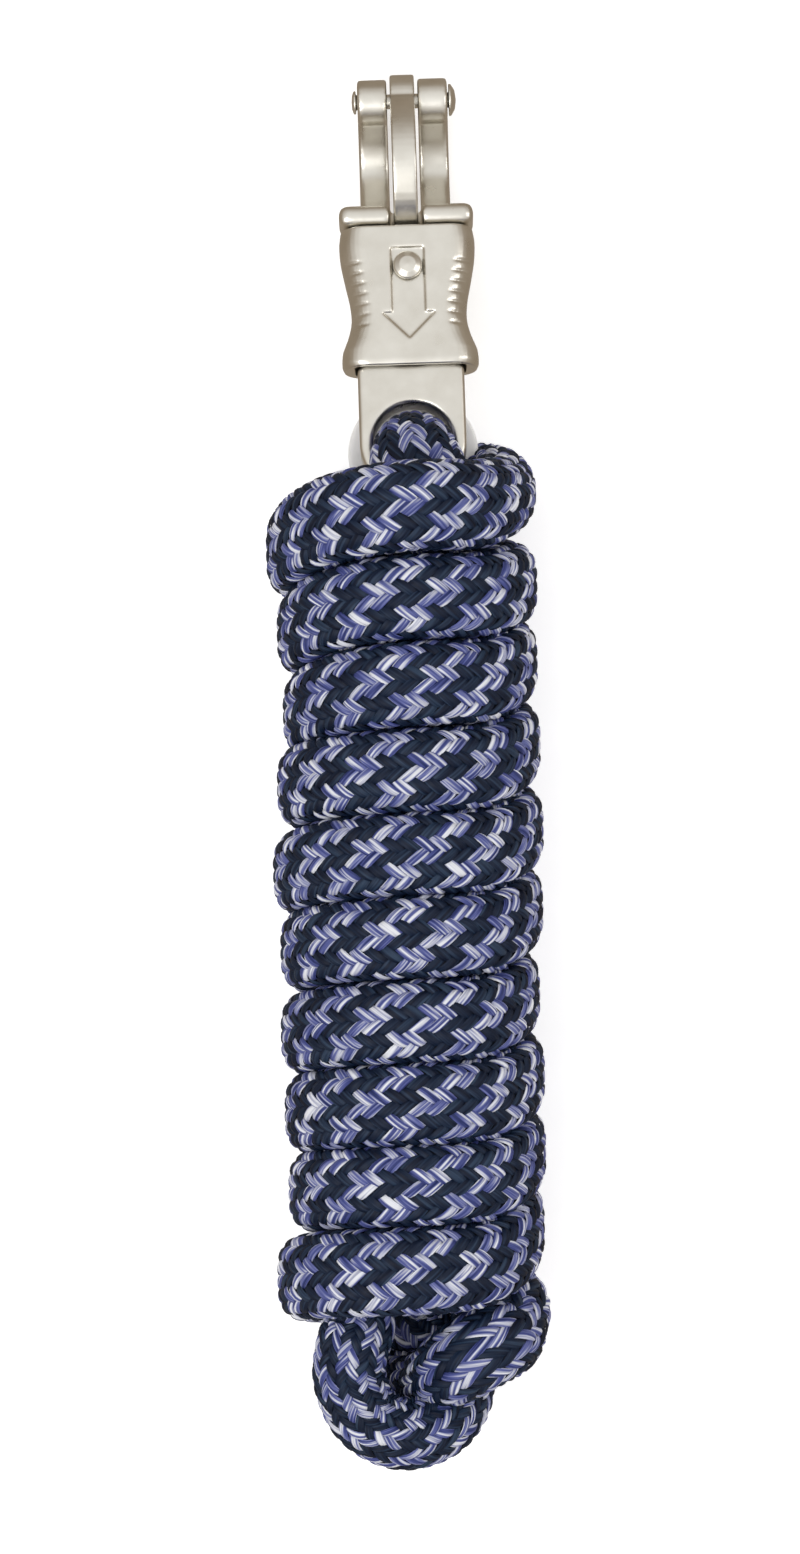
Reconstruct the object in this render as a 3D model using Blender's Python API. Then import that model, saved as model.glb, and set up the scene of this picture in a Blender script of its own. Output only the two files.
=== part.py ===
"""Lead rope with a panic snap: the rope is wound into a tight hank lying on its back, snap end towards +Y.

Blender 4.5, metres, +Z up. The snap is built flat in its own frame (X across, Y from the eye to the tip,
Z out of its front), and one empty tilts it so that its tip droops towards the floor.
"""

from math import cos, pi, radians, sin

import bmesh
import bpy
from mathutils import Vector

GAP = 0.0003  # left between neighbouring pieces
END_RUN = 0.0018  # the short straight stretch with which a tube's end meets a face squarely

# Rope and hank
ROPE_RADIUS = 0.0095
SQUEEZED_RADIUS = 0.0076  # where the rope is pulled through the snap's eye
BIGHT_RADIUS = 0.0083
PINCHED_RADIUS = 0.0066  # where the tail is trapped in the bight
HANK_HALF_WIDTH = 0.0303
HANK_HALF_DEPTH = 0.0312
HANK_AXIS_HEIGHT = 0.0307
HANK_TOP = 0.058
HANK_BOTTOM = -0.119
HANK_END_ROUND = 0.005
LEAD_RADIUS = 0.0085
CAP_RADIUS = 0.0098
CAP_LENGTH = 0.009

# Snap, in its own frame
EYE_PLACE = (0.0024, 0.0747, 0.028)
SNAP_DROOP = radians(10.3)
SNAP_LEAN = radians(0.9)
EYE_RADIUS = 0.0091
SHANK_HALF_WIDTH = 0.01215
SHANK_INNER_HALF_WIDTH = 0.0114  # the stretch that stays inside the sleeve
SHANK_STEP = 0.0170
SHANK_TAPER = 0.0011
SHANK_HALF_DEPTH = 0.0043
SHOULDER_LOW = 0.0504
SHOULDER_HIGH = 0.0553
SHOULDER_HALF_WIDTH = 0.0154
SHOULDER_HALF_DEPTH = 0.0069
PIN_PLACE = 0.0812  # distance from the eye's centre to the pin's axis
KNUCKLE_RADIUS = 0.0051
ARM_THICKNESS = 0.0064
ARM_INNER_X = 0.00355
ARM_OUTER_X = 0.01035
TONGUE_THICKNESS = 0.0054
TONGUE_HALF_WIDTH = 0.0028
TONGUE_KNUCKLE_RADIUS = 0.0061
PIN_RADIUS = 0.0017
TOE_SLOT_HALF_WIDTH = 0.00375
TOE_SLOT_LOW = 0.0470
TOE_SLOT_FLOOR = -0.0018

# Sleeve, spring and rivet
SLEEVE_LOW = 0.0174
SLEEVE_HIGH = 0.0501
SLEEVE_BORE_HALF_DEPTH = 0.0052
SLEEVE_BORE_HALF_WIDTH = 0.0117
SLEEVE_BORE_CORNER = 0.002
MOUTH_HALF_WIDTH = 0.0126
MOUTH_DEPTH = 0.0087
SLEEVE_CORNER = 0.0058
SLEEVE_HALF_DEPTH = 0.0072
RIVET_PLACE = 0.0404
RIVET_RADIUS = 0.0016
SPRING_SLOT_HALF_WIDTH = 0.0031
SPRING_SLOT_LOW = 0.0188
SPRING_SLOT_HIGH = 0.0423
SPRING_RADIUS = 0.0023  # to the middle of the wire
SPRING_WIRE_RADIUS = 0.00035
SPRING_TURNS = 8

# Stop on the rope's end, behind the eye
STOP_RADIUS = 0.015
STOP_FRONT = -0.0076
STOP_THICKNESS = 0.0019
STOP_BOSS_RADIUS = 0.0042
STOP_BOSS_DEPTH = 0.0006

ROUND_STEPS = 40


# Shared tools


def new_material(name, colour, roughness, metallic=0.0):
    material = bpy.data.materials.new(name)
    material.use_nodes = True
    shader = material.node_tree.nodes["Principled BSDF"]
    shader.inputs["Base Color"].default_value = (*colour, 1.0)
    shader.inputs["Roughness"].default_value = roughness
    shader.inputs["Metallic"].default_value = metallic
    return material


def add_object(name, data, material=None, parent=None):
    piece = bpy.data.objects.new(name, data)
    bpy.context.scene.collection.objects.link(piece)
    piece.parent = parent
    if material:
        data.materials.append(material)
    return piece


def add_mesh(name, bm, material=None, parent=None):
    """The bmesh as a finished object, smooth except across its hard edges."""
    bmesh.ops.recalc_face_normals(bm, faces=bm.faces)
    mesh = bpy.data.meshes.new(name)
    bm.to_mesh(mesh)
    bm.free()
    mesh.shade_smooth()
    mesh.set_sharp_from_angle(angle=radians(35))
    return add_object(name, mesh, material, parent)


def add_empty(name, place, parent=None):
    empty = add_object(name, None, parent=parent)
    empty.location = place
    empty.empty_display_size = 0.01
    return empty


def prism(outline, axis, low, high):
    """A closed outline across one axis, run along that axis from low to high."""
    along = "XYZ".index(axis)

    def place(a, b, c):
        point = [a, b]
        point.insert(along, c)
        return point

    bm = bmesh.new()
    ends = [[bm.verts.new(place(a, b, level)) for a, b in outline] for level in (low, high)]
    for end in ends:
        bm.faces.new(end)
    count = len(outline)
    for i in range(count):
        j = (i + 1) % count
        bm.faces.new((ends[0][i], ends[0][j], ends[1][j], ends[1][i]))
    return bm


def box(low, high):
    outline = [(low[0], low[1]), (high[0], low[1]), (high[0], high[1]), (low[0], high[1])]
    return prism(outline, "Z", low[2], high[2])


def loft(rings):
    """Equal rings of points joined into one closed solid."""
    bm = bmesh.new()
    loops = [[bm.verts.new(point) for point in ring] for ring in rings]
    for first, second in zip(loops, loops[1:]):
        for i in range(len(first)):
            j = (i + 1) % len(first)
            bm.faces.new((first[i], first[j], second[j], second[i]))
    bm.faces.new(loops[0])
    bm.faces.new(loops[-1])
    return bm


def turned(profile, axis):
    """A profile of (radius, height) points, from axis to axis, turned once around X or Z."""
    bm = bmesh.new()
    if axis == "X":
        points = [(height, radius, 0) for radius, height in profile]
    else:
        points = [(radius, 0, height) for radius, height in profile]
    verts = [bm.verts.new(point) for point in points]
    edges = [bm.edges.new(pair) for pair in zip(verts, verts[1:])]
    spin_axis = (1, 0, 0) if axis == "X" else (0, 0, 1)
    bmesh.ops.spin(bm, geom=verts + edges, cent=(0, 0, 0), axis=spin_axis, angle=2 * pi, steps=ROUND_STEPS)
    bmesh.ops.remove_doubles(bm, verts=bm.verts, dist=1e-6)
    return bm


def arc(centre, radius, start, end, steps):
    """Points on an arc in a plane, angles in degrees."""
    turns = [radians(start + (end - start) * i / steps) for i in range(steps + 1)]
    return [(centre[0] + radius * cos(a), centre[1] + radius * sin(a)) for a in turns]


def smooth_route(points, spacing):
    """Evenly spaced points on one smooth curve through the route's own points."""
    points = [Vector(p) for p in points]
    ends = [2 * points[0] - points[1], *points, 2 * points[-1] - points[-2]]
    fine = []
    for before, start, end, after in zip(ends, ends[1:], ends[2:], ends[3:]):
        for i in range(24):
            t = i / 24
            fine.append(
                0.5
                * (
                    2 * start
                    + (end - before) * t
                    + (2 * before - 5 * start + 4 * end - after) * t**2
                    + (3 * start - before - 3 * end + after) * t**3
                )
            )
    fine.append(points[-1])
    walked = [0.0]
    for first, second in zip(fine, fine[1:]):
        walked.append(walked[-1] + (second - first).length)
    count = max(2, round(walked[-1] / spacing))
    even = []
    step = 0
    for i in range(count + 1):
        goal = walked[-1] * i / count
        while step < len(fine) - 2 and walked[step + 1] < goal:
            step += 1
        share = (goal - walked[step]) / (walked[step + 1] - walked[step])
        even.append(fine[step].lerp(fine[step + 1], min(share, 1.0)))
    return even


def with_square_ends(points, start=None, end=None):
    """The points with a short straight stretch added, along the given direction, at one end or both."""
    if start:
        points = [points[0] + Vector(start) * END_RUN, *points]
    if end:
        points = [*points, points[-1] + Vector(end) * END_RUN]
    return points


def tube(name, points, radii, material, parent=None, sides=3):
    """A curve with a round bevel and filled caps; one radius for each point."""
    curve = bpy.data.curves.new(name, "CURVE")
    curve.dimensions = "3D"
    curve.bevel_depth = 1.0
    curve.bevel_resolution = sides
    curve.use_fill_caps = True
    spline = curve.splines.new("POLY")
    spline.points.add(len(points) - 1)
    for knot, point, radius in zip(spline.points, points, radii):
        knot.co = (*point, 1.0)
        knot.radius = radius
    return add_object(name, curve, material, parent)


def cut(piece, other, operation="DIFFERENCE"):
    """Cut the other mesh from the piece, or join it on; the other stays as a hidden guide."""
    other.hide_render = True
    other.display_type = "WIRE"
    modifier = piece.modifiers.new(other.name, "BOOLEAN")
    modifier.operation = operation
    modifier.solver = "EXACT"
    modifier.object = other


def round_edges(piece, width, segments=2, angle=40):
    modifier = piece.modifiers.new("Rounded edges", "BEVEL")
    modifier.width = width
    modifier.segments = segments
    modifier.limit_method = "ANGLE"
    modifier.angle_limit = radians(angle)


def as_mesh(piece):
    """The evaluated shape of an object as a plain mesh object of the same name."""
    graph = bpy.context.evaluated_depsgraph_get()
    mesh = bpy.data.meshes.new_from_object(piece.evaluated_get(graph))
    name, parent = piece.name, piece.parent
    bpy.data.objects.remove(piece)
    return add_object(name, mesh, parent=parent)


def bar_outline(centreline, thickness):
    """The outline of a bent bar, as a closed ring around its smooth centreline."""
    points = smooth_route([(a, b, 0) for a, b in centreline], 0.0013)
    left, right = [], []
    for i, point in enumerate(points):
        ahead = points[min(i + 1, len(points) - 1)] - points[max(i - 1, 0)]
        across = Vector((-ahead.y, ahead.x, 0)).normalized() * thickness / 2
        left.append((point + across)[:2])
        right.append((point - across)[:2])
    return left + right[::-1]


# Snap: the fixed body, with the eye, the shank, the shoulders and the two fork arms


def add_snap_body(frame, material):
    top = SHOULDER_LOW + 0.002
    outline = [(-SHANK_HALF_WIDTH, SHANK_STEP), *arc((0, 0), SHANK_HALF_WIDTH, 180, 360, 40)]
    outline += [(SHANK_HALF_WIDTH, SHANK_STEP), (SHANK_INNER_HALF_WIDTH, SHANK_STEP + SHANK_TAPER)]
    outline += [(SHANK_INNER_HALF_WIDTH, top), (-SHANK_INNER_HALF_WIDTH, top)]
    outline += [(-SHANK_INNER_HALF_WIDTH, SHANK_STEP + SHANK_TAPER)]
    body = add_mesh("snap_body", prism(outline, "Z", -SHANK_HALF_DEPTH, SHANK_HALF_DEPTH), material, frame)

    eye = add_mesh("eye_cutter", prism(arc((0, 0), EYE_RADIUS, 0, 354, 59), "Z", -0.01, 0.01), parent=frame)
    cut(body, eye)
    slot = [(-SPRING_SLOT_HALF_WIDTH, SPRING_SLOT_LOW), (SPRING_SLOT_HALF_WIDTH, SPRING_SLOT_LOW)]
    slot += arc((0, SPRING_SLOT_HIGH - SPRING_SLOT_HALF_WIDTH), SPRING_SLOT_HALF_WIDTH, 0, 180, 8)
    cut(body, add_mesh("spring_slot_cutter", prism(slot, "Z", -0.01, 0.01), parent=frame))
    wide = TOE_SLOT_HALF_WIDTH
    toe_slot = box((-wide, TOE_SLOT_LOW, TOE_SLOT_FLOOR), (wide, SHOULDER_HIGH + 0.002, 0.02))
    toe_slot_cutter = add_mesh("toe_slot_cutter", toe_slot, parent=frame)
    cut(body, toe_slot_cutter)
    round_edges(body, 0.0012, angle=50)

    yoke = add_mesh(
        "yoke",
        box(
            (-SHOULDER_HALF_WIDTH, SHOULDER_LOW, -SHOULDER_HALF_DEPTH),
            (SHOULDER_HALF_WIDTH, SHOULDER_HIGH, SHOULDER_HALF_DEPTH),
        ),
        parent=frame,
    )
    round_edges(yoke, 0.0018)
    arm_line = [(0.0528, -0.0022), (0.0585, -0.0084), (0.0665, -0.0118), (0.0745, -0.0083)]
    arm_line.append((PIN_PLACE, 0.0))
    for side, name in ((-1, "left"), (1, "right")):
        inner, outer = sorted((side * ARM_INNER_X, side * ARM_OUTER_X))
        arm_bar = prism(bar_outline(arm_line, ARM_THICKNESS), "X", inner, outer)
        arm = add_mesh(f"{name}_arm", arm_bar, parent=frame)
        knuckle_ring = arc((PIN_PLACE, 0), KNUCKLE_RADIUS, 0, 350, 35)
        knuckle = add_mesh(f"{name}_knuckle", prism(knuckle_ring, "X", inner, outer), parent=frame)
        cut(arm, knuckle, "UNION")
        cut(yoke, arm, "UNION")
    cut(yoke, toe_slot_cutter)
    pin_hole = prism(arc((PIN_PLACE, 0), PIN_RADIUS + GAP, 0, 337.5, 15), "X", -0.02, 0.02)
    cut(yoke, add_mesh("pin_hole_cutter", pin_hole, parent=frame))
    cut(body, yoke, "UNION")


# Snap: the swinging tongue and the pin that it turns on


def add_tongue(pivot, material):
    line = [(0.0, 0.0), (-0.0047, 0.0072), (-0.0142, 0.0113), (-0.0229, 0.0088), (-0.0276, 0.0042)]
    line.append((-0.0294, 0.0018))
    wide = TONGUE_HALF_WIDTH
    bar = prism(bar_outline(line, TONGUE_THICKNESS), "X", -wide, wide)
    tongue = add_mesh("hook_tongue", bar, material, pivot)
    knuckle = prism(arc((0, 0), TONGUE_KNUCKLE_RADIUS, 0, 350, 35), "X", -wide, wide)
    cut(tongue, add_mesh("tongue_knuckle", knuckle, parent=pivot), "UNION")
    toe = [(-0.0316, 0.0012), (-0.0275, -0.0004), (-0.0262, 0.0040), (-0.0306, 0.0043), (-0.0316, 0.0037)]
    cut(tongue, add_mesh("toe", prism(toe, "X", -wide, wide), parent=pivot), "UNION")
    hole = prism(arc((0, 0), PIN_RADIUS + GAP, 0, 337.5, 15), "X", -0.01, 0.01)
    cut(tongue, add_mesh("tongue_hole_cutter", hole, parent=pivot))


def add_pin(frame, material):
    face = ARM_OUTER_X + GAP
    head = 0.0037
    peened = 0.0027
    profile = [(0, face + 0.0017), (head * 0.6, face + 0.0014), (head, face + 0.0005), (head, face)]
    profile += [(PIN_RADIUS, face), (PIN_RADIUS, -face), (peened, -face), (peened, -face - 0.0005)]
    profile += [(peened * 0.6, -face - 0.0009), (0, -face - 0.001)]
    pin = add_mesh("tongue_pin", turned(profile[::-1], "X"), material, frame)
    pin.location = (0, PIN_PLACE, 0)


# Sleeve that locks the tongue, its cross rivet, and the spring behind them


def rounded_ring(half_width, half_depth, corner, place):
    """A rectangle with round corners, across the sleeve at one place along it."""
    ring = []
    for start, across, out in ((0, 1, 1), (90, -1, 1), (180, -1, -1), (270, 1, -1)):
        centre = (across * (half_width - corner), out * (half_depth - corner))
        ring += [(x, place, z) for x, z in arc(centre, corner, start, start + 90, 8)]
    return ring


def bore_cutter(name, half_width, half_depth, high, slide):
    ends = [rounded_ring(half_width, half_depth, SLEEVE_BORE_CORNER, place) for place in (0.01, high)]
    return add_mesh(name, loft(ends), parent=slide)


def add_sleeve(slide, material):
    waist = [
        (SLEEVE_LOW + 0.0012, 0.0156, 0),
        (0.0215, 0.0154, 0),
        (0.0245, 0.0142, 0),
        (0.0285, 0.0132, 0),
        (0.0330, 0.0134, 0),
        (0.0380, 0.0144, 0),
        (0.0430, 0.0153, 0),
        (0.0470, 0.0155, 0),
        (SLEEVE_HIGH, 0.0150, 0),
    ]
    rings = [rounded_ring(0.0150, SLEEVE_HALF_DEPTH - 0.0003, SLEEVE_CORNER, SLEEVE_LOW)]
    for place, half_width, _ in smooth_route(waist, 0.0015):
        rings.append(rounded_ring(half_width, SLEEVE_HALF_DEPTH, SLEEVE_CORNER, place))
    sleeve = add_mesh("release_sleeve", loft(rings), material, slide)
    wide, deep = SLEEVE_BORE_HALF_WIDTH, SLEEVE_BORE_HALF_DEPTH
    cut(sleeve, bore_cutter("sleeve_bore_cutter", wide, deep, 0.06, slide))
    mouth_high = SLEEVE_LOW + MOUTH_DEPTH
    cut(sleeve, bore_cutter("sleeve_mouth_cutter", MOUTH_HALF_WIDTH, deep + 0.0002, mouth_high, slide))
    lead_in = [(SLEEVE_HIGH - 0.0009, 0.005), (SLEEVE_HIGH + 0.001, 0.005), (SLEEVE_HIGH + 0.001, 0.0070)]
    lead_in += [(SLEEVE_HIGH, 0.0061)]
    cut(sleeve, add_mesh("lead_in_cutter", prism(lead_in, "X", -0.0036, 0.0036), parent=slide))
    hole_ring = [(x, RIVET_PLACE + y) for x, y in arc((0, 0), RIVET_RADIUS + GAP, 0, 337.5, 15)]
    cut(sleeve, add_mesh("rivet_hole_cutter", prism(hole_ring, "Z", -0.02, 0.02), parent=slide))


def add_rivet(slide, material):
    face = SLEEVE_HALF_DEPTH + GAP
    head = 0.0034
    profile = [(0, face + 0.0016), (head * 0.55, face + 0.0013), (head * 0.9, face + 0.0006), (head, face)]
    profile += [(RIVET_RADIUS, face), (RIVET_RADIUS, -face), (head * 0.8, -face)]
    profile += [(head * 0.7, -face - 0.0006), (0, -face - 0.0008)]
    rivet = add_mesh("sleeve_rivet", turned(profile, "Z"), material, slide)
    rivet.location = (0, RIVET_PLACE, 0)


def add_spring(frame, material):
    low = SPRING_SLOT_LOW + GAP + SPRING_WIRE_RADIUS
    high = RIVET_PLACE - RIVET_RADIUS - GAP - SPRING_WIRE_RADIUS
    steps = 14 * SPRING_TURNS
    points = []
    for i in range(steps + 1):
        turn = 2 * pi * SPRING_TURNS * i / steps
        points.append((SPRING_RADIUS * cos(turn), low + (high - low) * i / steps, SPRING_RADIUS * sin(turn)))
    tube("release_spring", points, [SPRING_WIRE_RADIUS] * len(points), material, frame, sides=1)


# Rope: the stop behind the eye, the run through the eye, the hank, the bight, the tail and its cap


def add_stop(frame, material):
    back = STOP_FRONT - STOP_THICKNESS
    edge = STOP_THICKNESS / 2
    profile = [(0, STOP_FRONT)]
    profile += [(STOP_RADIUS - edge + a, STOP_FRONT - edge + b) for a, b in arc((0, 0), edge, 90, -90, 6)]
    boss_end = back - STOP_BOSS_DEPTH
    profile += [(STOP_BOSS_RADIUS, back), (STOP_BOSS_RADIUS * 0.8, boss_end), (0, boss_end)]
    add_mesh("rope_stop", turned(profile, "Z"), material, frame)


def add_eye_run(frame, material):
    """From the stop, forwards through the eye, over its rim and down to the hank; in the snap's frame."""
    route = [
        (0.0, -0.0004, STOP_FRONT + GAP + END_RUN),
        (0.0, -0.0006, -0.002),
        (0.0001, -0.0010, 0.0035),
        (0.0003, -0.0028, 0.0090),
        (0.0006, -0.0068, 0.0130),
        (0.0010, -0.0130, 0.0141),
        (0.0010, -0.0172, 0.0134),
    ]
    points = with_square_ends(smooth_route(route, 0.003), (0, 0, -1), (0, -cos(SNAP_DROOP), -sin(SNAP_DROOP)))
    tube("rope_eye_run", points, [SQUEEZED_RADIUS] * len(points), material, frame)


def add_hank(material):
    """The wraps' outer shape, flat where it rests, joined with the strand that comes round behind the eye."""
    outline = []
    for x, z in arc((0, 0), 1, 0, 351, 39):
        height = HANK_AXIS_HEIGHT + HANK_HALF_DEPTH * z
        outline.append((HANK_HALF_WIDTH * x, max(height, 0.0)))
    hank = add_mesh("rope_hank", prism(outline, "Y", HANK_BOTTOM, HANK_TOP), material)
    round_edges(hank, HANK_END_ROUND, 3, 60)
    route = [
        (-0.008, 0.048, 0.020),
        (-0.006, 0.058, 0.012),
        (0.0020, 0.0645, LEAD_RADIUS + 0.0007),
        (0.0132, 0.0653, LEAD_RADIUS + 0.0005),
        (0.0214, 0.0615, 0.0160),
        (0.0211, 0.0560, 0.0250),
        (0.0200, 0.0480, 0.0320),
    ]
    points = smooth_route(route, 0.004)
    lead = as_mesh(tube("top_lead", points, [LEAD_RADIUS] * len(points), material))
    cut(hank, lead, "UNION")


def add_bight(material):
    """The rope's bottom loop, from the hank's lower end and back into it."""
    route = [
        (-0.0128, HANK_BOTTOM - GAP - END_RUN, 0.0394),
        (-0.0131, HANK_BOTTOM - 0.0055, 0.0397),
        (-0.0148, -0.1305, 0.0405),
        (-0.0156, -0.136, 0.0402),
        (-0.0130, -0.1448, 0.0365),
        (-0.0045, -0.1505, 0.0310),
        (0.0048, -0.1475, 0.0255),
        (0.0092, -0.139, 0.0212),
        (0.0078, -0.131, 0.0197),
        (0.0058, HANK_BOTTOM - 0.0055, 0.0197),
        (0.0056, HANK_BOTTOM - GAP - END_RUN, 0.0198),
    ]
    points = with_square_ends(smooth_route(route, 0.005), start=(0, 1, 0), end=(0, 1, 0))
    tube("rope_bight", points, [BIGHT_RADIUS] * len(points), material)


def add_tail(rope_material, cap_material):
    """The last diagonal strand, over the front, through the bight to the back, and the cap on its end."""
    route = [
        (0.0206, HANK_BOTTOM - GAP - END_RUN, 0.0322),
        (0.0206, HANK_BOTTOM - 0.0055, 0.0328),
        (0.0197, -0.1278, 0.0366),
        (0.0168, -0.1298, 0.0408),
        (0.0110, -0.1318, 0.0440),
        (0.0048, -0.1334, 0.0414),
        (0.0, -0.1340, 0.0352),
        (-0.0036, -0.1343, 0.0302),
        (-0.0080, -0.1352, 0.0240),
        (-0.0113, -0.1374, 0.0188),
        (-0.0120, -0.1402, 0.0153),
    ]
    pinch = Vector((-0.0034, -0.1343, 0.0305))
    points = with_square_ends(smooth_route(route, 0.0025), start=(0, 1, 0))
    radii = []
    for point in points:
        free = min(max((point - pinch).length - 0.004, 0.0) / 0.012, 1.0)
        radii.append(PINCHED_RADIUS + (ROPE_RADIUS - PINCHED_RADIUS) * free)
    tube("rope_tail", points, radii, rope_material)

    heading = (points[-1] - points[-2]).normalized()
    edge = 0.0015
    profile = [(0, 0), (CAP_RADIUS, 0), (CAP_RADIUS, CAP_LENGTH - edge), (CAP_RADIUS - edge, CAP_LENGTH)]
    profile += [(0, CAP_LENGTH)]
    cap = add_mesh("rope_end_cap", turned(profile[::-1], "Z"), cap_material)
    cap.location = points[-1] + heading * GAP
    cap.rotation_euler = heading.to_track_quat("Z", "Y").to_euler()


def build():
    for old in list(bpy.data.objects):
        bpy.data.objects.remove(old)
    nickel = new_material("satin_nickel", (0.66, 0.63, 0.57), 0.32, 1.0)
    steel = new_material("spring_steel", (0.55, 0.55, 0.56), 0.35, 1.0)
    rope = new_material("braided_rope", (0.045, 0.055, 0.13), 0.75)
    plastic = new_material("stop_plastic", (0.82, 0.83, 0.84), 0.4)
    cap = new_material("cap_plastic", (0.03, 0.03, 0.04), 0.45)

    snap_frame = add_empty("snap_frame", EYE_PLACE)
    snap_frame.rotation_euler = (-SNAP_DROOP, 0, SNAP_LEAN)
    tongue_pivot = add_empty("tongue_pivot", (0, PIN_PLACE, 0), snap_frame)
    sleeve_slide = add_empty("sleeve_slide", (0, 0, 0), snap_frame)

    add_snap_body(snap_frame, nickel)
    add_tongue(tongue_pivot, nickel)
    add_pin(snap_frame, nickel)
    add_sleeve(sleeve_slide, nickel)
    add_rivet(sleeve_slide, nickel)
    add_spring(snap_frame, steel)
    add_stop(snap_frame, plastic)
    add_eye_run(snap_frame, rope)
    add_hank(rope)
    add_bight(rope)
    add_tail(rope, cap)


build()
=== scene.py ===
"""Lead rope in a tight hank with its panic snap: the looks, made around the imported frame.

The rope is one long line. Its core is a plain tube along that line, and its cover is a plaited sheath of
forty carriers, laid flat as stitches and then wrapped round the line. The snap is nickel-plated casting.
"""

from math import cos, pi, radians, sin

import bmesh
import bpy
import numpy as np
from mathutils import Euler, Matrix, Vector


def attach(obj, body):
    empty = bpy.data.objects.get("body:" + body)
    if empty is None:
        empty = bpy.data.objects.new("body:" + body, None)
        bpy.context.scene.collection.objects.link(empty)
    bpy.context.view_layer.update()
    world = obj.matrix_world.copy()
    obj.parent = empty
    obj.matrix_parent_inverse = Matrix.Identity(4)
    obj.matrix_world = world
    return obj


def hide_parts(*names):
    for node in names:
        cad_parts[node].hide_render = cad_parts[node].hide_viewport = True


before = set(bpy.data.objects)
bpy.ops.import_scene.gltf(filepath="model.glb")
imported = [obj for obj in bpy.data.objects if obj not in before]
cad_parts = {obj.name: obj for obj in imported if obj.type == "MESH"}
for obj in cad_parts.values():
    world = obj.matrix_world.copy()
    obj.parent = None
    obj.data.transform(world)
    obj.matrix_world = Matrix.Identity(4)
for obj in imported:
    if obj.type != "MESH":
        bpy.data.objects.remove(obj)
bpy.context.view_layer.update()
ROOT = "rope_and_snap"


# The light tent and the camera
# The rope is shown as it is sold, lying flat. A tent of white cloth hangs round it, darker and warmer towards
# its foot, two square lamps shine in from above, and the camera looks straight down.

CAMERA_PLACE = (-0.0018, -0.0008, 1.5)
CAMERA_TURN = radians(-0.9)
CAMERA_LENS = 149.7
TENT_FOOT = (0.15, (0.33, 0.275, 0.215, 1))
TENT_TOP = (0.95, (0.97, 0.97, 0.97, 1))
LAMPS_AIM = (0, 0, 0.03)

camera = bpy.data.objects.new("camera", bpy.data.cameras.new("camera"))
bpy.context.scene.collection.objects.link(camera)
camera.location = CAMERA_PLACE
camera.rotation_euler = (0, 0, CAMERA_TURN)
camera.data.lens = CAMERA_LENS
camera.data.sensor_width = 36
camera.data.clip_start = 0.01
bpy.context.scene.camera = camera
bpy.context.scene.view_settings.view_transform = "Standard"

world = bpy.data.worlds.new("tent")
bpy.context.scene.world = world
world.use_nodes = True
background = world.node_tree.nodes["Background"]
direction = world.node_tree.nodes.new("ShaderNodeTexCoord")
height = world.node_tree.nodes.new("ShaderNodeSeparateXYZ")
tent = world.node_tree.nodes.new("ShaderNodeValToRGB")
world.node_tree.links.new(direction.outputs["Generated"], height.inputs[0])
world.node_tree.links.new(height.outputs["Z"], tent.inputs[0])
world.node_tree.links.new(tent.outputs[0], background.inputs["Color"])
for element, (place, colour) in zip(tent.color_ramp.elements, (TENT_FOOT, TENT_TOP)):
    element.position = place
    element.color = colour


def add_lamp(name, place, size, power):
    """A square area lamp that points at the hank."""
    lamp = bpy.data.objects.new(name, bpy.data.lights.new(name, "AREA"))
    bpy.context.scene.collection.objects.link(lamp)
    lamp.location = place
    lamp.rotation_euler = (Vector(LAMPS_AIM) - Vector(place)).to_track_quat("-Z", "Y").to_euler()
    lamp.data.size = size
    lamp.data.energy = power


add_lamp("key_lamp", (-0.5, -0.35, 1.1), 0.6, 5)
add_lamp("side_lamp", (0.8, 0.1, 0.7), 0.5, 1.5)


# The table
# A broad sheet of white card under the rope, bright enough to lose its edge. It is the first thing with a
# pattern, so the way that every pattern and every repeated piece is written down as nodes starts here.

TABLE_REACH = 3.0
TABLE_GLOW = 0.45
WHITE = (1.0, 1.0, 1.0)


class Socket:
    """One output of a node. Sums and products on it add Math nodes."""

    def __init__(self, graph, output):
        self.graph = graph
        self.output = output

    def math(self, operation, *others):
        return self.graph.add("ShaderNodeMath", {"operation": operation}, (self, *others))

    def vector(self, operation, *others):
        return self.graph.add("ShaderNodeVectorMath", {"operation": operation}, (self, *others))

    def also(self, name):
        """Another output of the same node."""
        return Socket(self.graph, self.output.node.outputs[name])

    def __add__(self, other):
        return self.math("ADD", other)

    __radd__ = __add__

    def __mul__(self, other):
        return self.math("MULTIPLY", other)

    __rmul__ = __mul__

    def __sub__(self, other):
        return self.math("SUBTRACT", other)

    def __rsub__(self, other):
        return self * -1 + other

    def __truediv__(self, other):
        return self.math("DIVIDE", other)

    def __mod__(self, other):
        return self.math("FLOORED_MODULO", other)

    def __pow__(self, other):
        return self.math("POWER", other)

    def __lt__(self, other):
        return self.math("LESS_THAN", other)

    def __gt__(self, other):
        return self.math("GREATER_THAN", other)


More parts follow.
